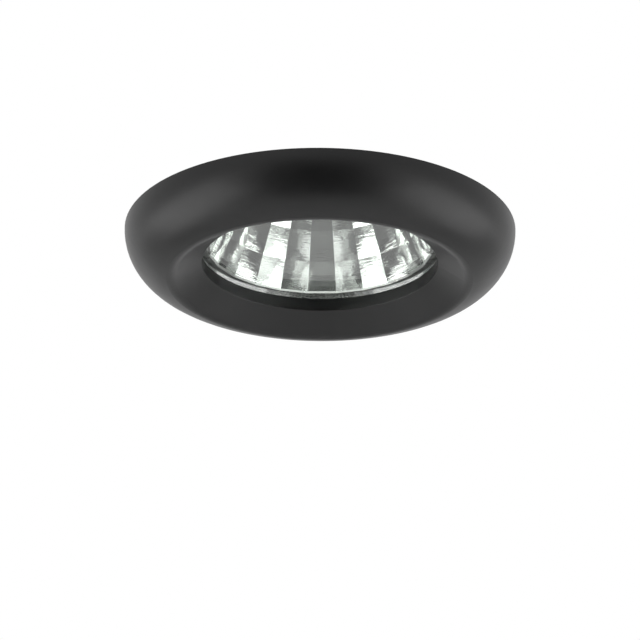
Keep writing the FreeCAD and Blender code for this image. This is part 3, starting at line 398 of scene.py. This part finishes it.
def tube(name, path, radius, slot):
    """A round tube along a list of points, closed at both ends, without twist."""
    headings = [(b - a).normalized() for a, b in zip(path, path[1:])]
    tangents = [headings[0]] + [(a + b).normalized() for a, b in zip(headings, headings[1:])] + [headings[-1]]
    side = tangents[0].orthogonal().normalized()
    vertices, faces = [], []
    for i, (point, tangent) in enumerate(zip(path, tangents)):
        if i:
            side = tangents[i - 1].rotation_difference(tangent) @ side
        for k in range(TUBE_SIDES):
            turn = Matrix.Rotation(FULL_TURN * k / TUBE_SIDES, 3, tangent)
            vertices.append(point + turn @ side * radius)
        if i:
            faces += strip((i - 1) * TUBE_SIDES, i * TUBE_SIDES, TUBE_SIDES)
    faces.append(tuple(reversed(range(TUBE_SIDES))))
    faces.append(tuple((len(path) - 1) * TUBE_SIDES + k for k in range(TUBE_SIDES)))
    return new_piece(name, vertices, faces, slot)


# --- Lamp's mirror -----------------------------------------------------------------------------------
def mirror_radius(rise):
    """Radius of the mirror's paraboloid at a height above its mouth."""
    share = rise / MIRROR_DEPTH
    return math.sqrt(MIRROR_MOUTH**2 * (1 - share) + MIRROR_THROAT**2 * share)


def facet_corner(column, row, outset=0.0):
    angle = FACET_TURN + (column + 0.5) * FULL_TURN / FACET_COLUMNS
    rise = min(row * FACET_ROW_HEIGHT, MIRROR_DEPTH) if row else MOUTH_CHAMFER - outset
    radius = mirror_radius(rise) + outset
    return Vector((radius * math.cos(angle), radius * math.sin(angle), rise))


def facet_point(column, row, across, up):
    """A point of one facet, which swells slightly into the bowl between its four straight edges."""
    low = facet_corner(column, row).lerp(facet_corner(column + 1, row), across)
    high = facet_corner(column, row + 1).lerp(facet_corner(column + 1, row + 1), across)
    point = low.lerp(high, up)
    swell = 16 * across * (1 - across) * up * (1 - up)  # 1 at the facet's middle
    inwards = Vector((-point.x, -point.y, 0)).normalized()
    return point + inwards * FACET_BULGE * swell


def lathe_ring(radius, rise):
    """A round ring with a point opposite each point of the facets' rings."""
    ring = []
    for column in range(FACET_COLUMNS):
        low, high = facet_corner(column, 0), facet_corner(column + 1, 0)
        for k in range(FACET_STEPS):
            point = low.lerp(high, k / FACET_STEPS).xy.normalized() * radius
            ring.append(Vector((point.x, point.y, rise)))
    return ring


def facet_ring(row, up):
    return [
        facet_point(column, row, k / FACET_STEPS, up)
        for column in range(FACET_COLUMNS)
        for k in range(FACET_STEPS)
    ]


def mouth_ring():
    """The outer edge of the chamfer round the facets, on the flat rim."""
    ring = []
    for column in range(FACET_COLUMNS):
        first, last = (facet_corner(column + i, 0, MOUTH_CHAMFER) for i in (0, 1))
        ring += [first.lerp(last, k / FACET_STEPS) for k in range(FACET_STEPS)]
    return ring


def outside_profile(rim_radius):
    """The smooth outside, from the rim's lower edge up over the bowl and the neck, as (radius, rise)."""
    profile = [(rim_radius, 0.0), (rim_radius, MIRROR_RIM_HEIGHT)]
    for i in range(OUTSIDE_STEPS + 1):
        rise = MIRROR_RIM_HEIGHT + (MIRROR_DEPTH - MIRROR_RIM_HEIGHT) * i / OUTSIDE_STEPS
        profile.append((mirror_radius(rise) + MIRROR_WALL, rise))
    return profile


def lamp_mirror():
    """One closed skin: outside, neck, throat, facets from the throat down to the mouth, and flat rim."""
    low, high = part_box("lamp_reflector")
    neck_rise = high.z - low.z
    neck_radius = MIRROR_THROAT + MIRROR_NECK_WALL
    bore = MIRROR_THROAT * math.cos(math.pi / FACET_COLUMNS)
    profile = outside_profile(high.x) + [(neck_radius, MIRROR_DEPTH), (neck_radius, neck_rise)]
    profile += [(bore, neck_rise), (bore, MIRROR_DEPTH)]
    rings = [lathe_ring(radius, rise) for radius, rise in profile]
    first_facet_ring = len(rings)
    for row in reversed(range(FACET_ROWS)):
        steps = range(FACET_STEPS, 0, -1) if row else range(FACET_STEPS, -1, -1)
        rings += [facet_ring(row, step / FACET_STEPS) for step in steps]
    rings.append(mouth_ring())
    count = FACET_COLUMNS * FACET_STEPS
    lift = Vector((0, 0, low.z + RIM_LIFT))
    vertices = [point + lift for ring in rings for point in ring]
    faces = []
    for i in range(len(rings)):
        faces += strip(i * count, (i + 1) % len(rings) * count, count)
    skins = ("pressed_glass", "mirror_facets", "rim_glass")
    piece = new_piece("lamp_mirror", vertices, faces, skins[0])
    for skin in skins[1:]:
        piece.data.materials.append(materials[skin])
    for face in piece.data.polygons:
        ring = face.index // count
        if ring == len(rings) - 1:
            face.material_index = skins.index("rim_glass")
        elif ring >= first_facet_ring:
            face.material_index = skins.index("mirror_facets")
    sharpen_facets(piece.data, first_facet_ring, count)
    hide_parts("lamp_reflector")
    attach(piece, "fitting")


def sharpen_facets(mesh, first_facet_ring, count):
    """Keeps the edges between facets, and those of the chamfer, rim and neck, crisp."""
    chamfer_ring = first_facet_ring + FACET_ROWS * FACET_STEPS
    crisp_rings = {0, 1, first_facet_ring - 1, first_facet_ring - 2, first_facet_ring - 3, chamfer_ring + 1}
    crisp_rings |= set(range(first_facet_ring, chamfer_ring + 1, FACET_STEPS))
    for edge in mesh.edges:
        rings = {v // count for v in edge.vertices}
        columns = {v % count for v in edge.vertices}
        along = len(rings) == 1 and rings <= crisp_rings
        between = len(columns) == 1 and min(columns) % FACET_STEPS == 0 and min(rings) >= first_facet_ring
        edge.use_edge_sharp = along or between


# --- Springs and leads -------------------------------------------------------------------------------
def coil_path():
    """The right-hand spring round its pin's axis, from the fixed leg's end to the moving leg's end."""
    whole = FULL_TURN * COIL_TURNS + math.pi / 2 + ARM_DROOP
    count = math.ceil(whole / COIL_STEP)
    coil = []
    for i in range(count + 1):
        wound = whole * i / count
        angle = math.pi - wound
        y = COIL_PITCH * (wound - whole / 2) / FULL_TURN
        coil.append(Vector((COIL_RADIUS * math.cos(angle), y, COIL_RADIUS * math.sin(angle))))
    last_heading = Vector((math.cos(ARM_DROOP), 0, -math.sin(ARM_DROOP)))
    return [coil[0] - Vector((0, 0, FIXED_LEG))] + coil + [coil[-1] + last_heading * MOVING_LEG]


def spring(side):
    """One clip's spring: a coiled wire round its pin, with a fixed leg and a moving leg."""
    low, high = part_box(f"clip_pin_{side}")
    pin = (low + high) / 2
    turned = Matrix.Rotation(0 if side == "right" else math.pi, 3, "Z")
    path = [pin + turned @ point for point in coil_path()]
    piece = tube(f"spring_{side}", path, SPRING_WIRE, "spring_wire")
    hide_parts(f"clip_spring_{side}")
    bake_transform(piece)


def lead(name, slot, side):
    """From a contact up through the holder's lid, over, and down into the terminal block."""
    low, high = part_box(name)
    inner = min((v.co for v in nodes[name].data.vertices), key=lambda p: p.y)
    start = Vector((side * (max(abs(low.x), abs(high.x)) - LEAD_RADIUS), inner.y + LEAD_RADIUS, 0))
    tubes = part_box("terminal_tubes")
    outer_tube = max(abs(tubes[0].x), abs(tubes[1].x))
    tube_radius = (tubes[1].y - tubes[0].y) / 2
    end = Vector((side * (outer_tube - tube_radius), high.y - LEAD_RADIUS, 0))
    bend = max(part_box("holder_cover")[1].z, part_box("terminal_block")[1].z) + LEAD_STRAIGHT
    across = end - start
    path = [start + Vector((0, 0, low.z))]
    for i in range(LEAD_STEPS + 1):
        turn = math.pi * i / LEAD_STEPS
        lift = across.length / 2 * math.sin(turn)
        path.append(start + across * (1 - math.cos(turn)) / 2 + Vector((0, 0, bend + lift)))
    path.append(end + Vector((0, 0, tubes[1].z - LEAD_STRAIGHT)))
    piece = tube(f"sleeved_{name}", path, LEAD_RADIUS, slot)
    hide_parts(name)
    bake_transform(piece)


# --- Studio ------------------------------------------------------------------------------------------
def seen_directly(tree):
    """1 for rays from the camera, and for those by way of metal or glass."""
    rays = tree.nodes.new("ShaderNodeLightPath")
    total = rays.outputs["Is Camera Ray"]
    for name in ("Is Glossy Ray", "Is Transmission Ray"):
        larger = tree.nodes.new("ShaderNodeMath")
        larger.operation = "MAXIMUM"
        tree.links.new(total, larger.inputs[0])
        tree.links.new(rays.outputs[name], larger.inputs[1])
        total = larger.outputs["Value"]
    return total


def disc(name, radius, height, hole, material):
    """A level ring of the stage round the part's axis."""
    vertices = []
    for r in (hole, radius):
        for i in range(DISC_SIDES):
            angle = FULL_TURN * i / DISC_SIDES
            vertices.append((r * math.cos(angle), r * math.sin(angle), height))
    mesh = bpy.data.meshes.new(name)
    mesh.from_pydata(vertices, [], strip(0, DISC_SIDES, DISC_SIDES))
    mesh.materials.append(material)
    stage = bpy.data.objects.new(name, mesh)
    bpy.context.scene.collection.objects.link(stage)
    return stage


def board_paint():
    """The soffit board's white underside. From above, where it would hide the part, it is clear."""
    material = bpy.data.materials.new("soffit_paint")
    material.use_nodes = True
    tree = material.node_tree
    tree.nodes.clear()
    matt = tree.nodes.new("ShaderNodeBsdfDiffuse")
    matt.inputs["Color"].default_value = (0.8, 0.8, 0.8, 1)
    white = tree.nodes.new("ShaderNodeEmission")
    clear = tree.nodes.new("ShaderNodeBsdfTransparent")
    face = tree.nodes.new("ShaderNodeMixShader")
    one_sided = tree.nodes.new("ShaderNodeMixShader")
    geometry = tree.nodes.new("ShaderNodeNewGeometry")
    output = tree.nodes.new("ShaderNodeOutputMaterial")
    tree.links.new(seen_directly(tree), face.inputs[0])
    tree.links.new(matt.outputs[0], face.inputs[1])
    tree.links.new(white.outputs[0], face.inputs[2])
    tree.links.new(geometry.outputs["Backfacing"], one_sided.inputs[0])
    tree.links.new(face.outputs[0], one_sided.inputs[1])
    tree.links.new(clear.outputs[0], one_sided.inputs[2])
    tree.links.new(one_sided.outputs[0], output.inputs["Surface"])
    return material


def floor_paint():
    floor = Shader("floor_paint", (0.8, 0.8, 0.79), 0.8)
    floor.colours(floor.noise(3.0, 2.0), (0.79, 0.79, 0.78), (0.81, 0.81, 0.805))
    return floor.material


def area_light(name, place, aim, size, radiance):
    """A rectangular soft box of this radiance, seen in reflections but not by the camera."""
    light = bpy.data.lights.new(name, "AREA")
    light.shape = "RECTANGLE"
    light.size, light.size_y = size
    light.energy = radiance * math.pi * size[0] * size[1]
    lamp = bpy.data.objects.new(name, light)
    lamp.location = place
    lamp.rotation_euler = (Vector(aim) - Vector(place)).to_track_quat("-Z", "Y").to_euler()
    lamp.visible_camera = False
    bpy.context.scene.collection.objects.link(lamp)


def on_sky(azimuth, below, distance):
    """A place round the object: degrees to the side of the camera, and below the board."""
    a, b = math.radians(azimuth), math.radians(below)
    return Vector((math.sin(a) * math.cos(b), -math.cos(a) * math.cos(b), -math.sin(b))) * distance


def dark_card():
    """A matt grey card below and behind the camera, so that gloss turned towards it stays dark."""
    low = FLOOR_HEIGHT + CARD_LIFT
    profile = [(CARD_START, low), (CARD_END, low), (CARD_END, 0.0)]
    vertices = [(x, y, z) for y, z in profile for x in (-CARD_HALF_WIDTH, CARD_HALF_WIDTH)]
    mesh = bpy.data.meshes.new("dark_card")
    mesh.from_pydata(vertices, [], [(0, 1, 3, 2), (2, 3, 5, 4)])
    paper = Shader("card_paper", (0.15, 0.15, 0.15), 0.9)
    paper.colours(paper.noise(8.0), (0.14, 0.14, 0.14), (0.16, 0.16, 0.16))
    mesh.materials.append(paper.material)
    card = bpy.data.objects.new("dark_card", mesh)
    card.visible_camera = False
    bpy.context.scene.collection.objects.link(card)


def studio():
    board = disc("soffit_board", BOARD_RADIUS, BOARD_LIFT, BOARD_HOLE, board_paint())
    board.visible_shadow = False
    disc("studio_floor", FLOOR_RADIUS, FLOOR_HEIGHT, FLOOR_HOLE, floor_paint())
    dark_card()
    for name, azimuth, below, distance, size, radiance in LIGHTS_ROUND:
        area_light(name, on_sky(azimuth, below, distance), LIGHT_AIM, size, radiance)
    for light in LIGHTS_PLACED:
        area_light(*light)


def sky():
    world = bpy.data.worlds.new("studio_world")
    bpy.context.scene.world = world
    world.use_nodes = True
    tree = world.node_tree
    tree.nodes.clear()
    light = tree.nodes.new("ShaderNodeBackground")
    light.inputs["Color"].default_value = (WORLD_GREY, WORLD_GREY, WORLD_GREY, 1)
    white = tree.nodes.new("ShaderNodeBackground")
    white.inputs["Color"].default_value = (1, 1, 1, 1)
    mix = tree.nodes.new("ShaderNodeMixShader")
    output = tree.nodes.new("ShaderNodeOutputWorld")
    tree.links.new(seen_directly(tree), mix.inputs[0])
    tree.links.new(light.outputs[0], mix.inputs[1])
    tree.links.new(white.outputs[0], mix.inputs[2])
    tree.links.new(mix.outputs[0], output.inputs["Surface"])


def camera():
    """Below and in front of the fitting, looking up into its mouth."""
    below = math.radians(CAMERA_BELOW)
    place = Vector((0, -math.cos(below), -math.sin(below))) * CAMERA_DISTANCE
    data = bpy.data.cameras.new("camera")
    data.lens = CAMERA_LENS
    eye = bpy.data.objects.new("camera", data)
    level = (CAMERA_AIM - place).to_track_quat("-Z", "Y").to_matrix()
    roll = Matrix.Rotation(math.radians(-CAMERA_ROLL), 3, "Z")
    eye.matrix_world = Matrix.Translation(place) @ (level @ roll).to_4x4()
    bpy.context.scene.collection.objects.link(eye)
    bpy.context.scene.camera = eye


dress_nodes()
lamp_mirror()
for clip_side in SIDES:
    spring(clip_side)
lead("lead_live", "lead_brown", -1)
lead("lead_neutral", "lead_blue", 1)
studio()
sky()
camera()
bpy.context.scene.view_settings.view_transform = "Standard"
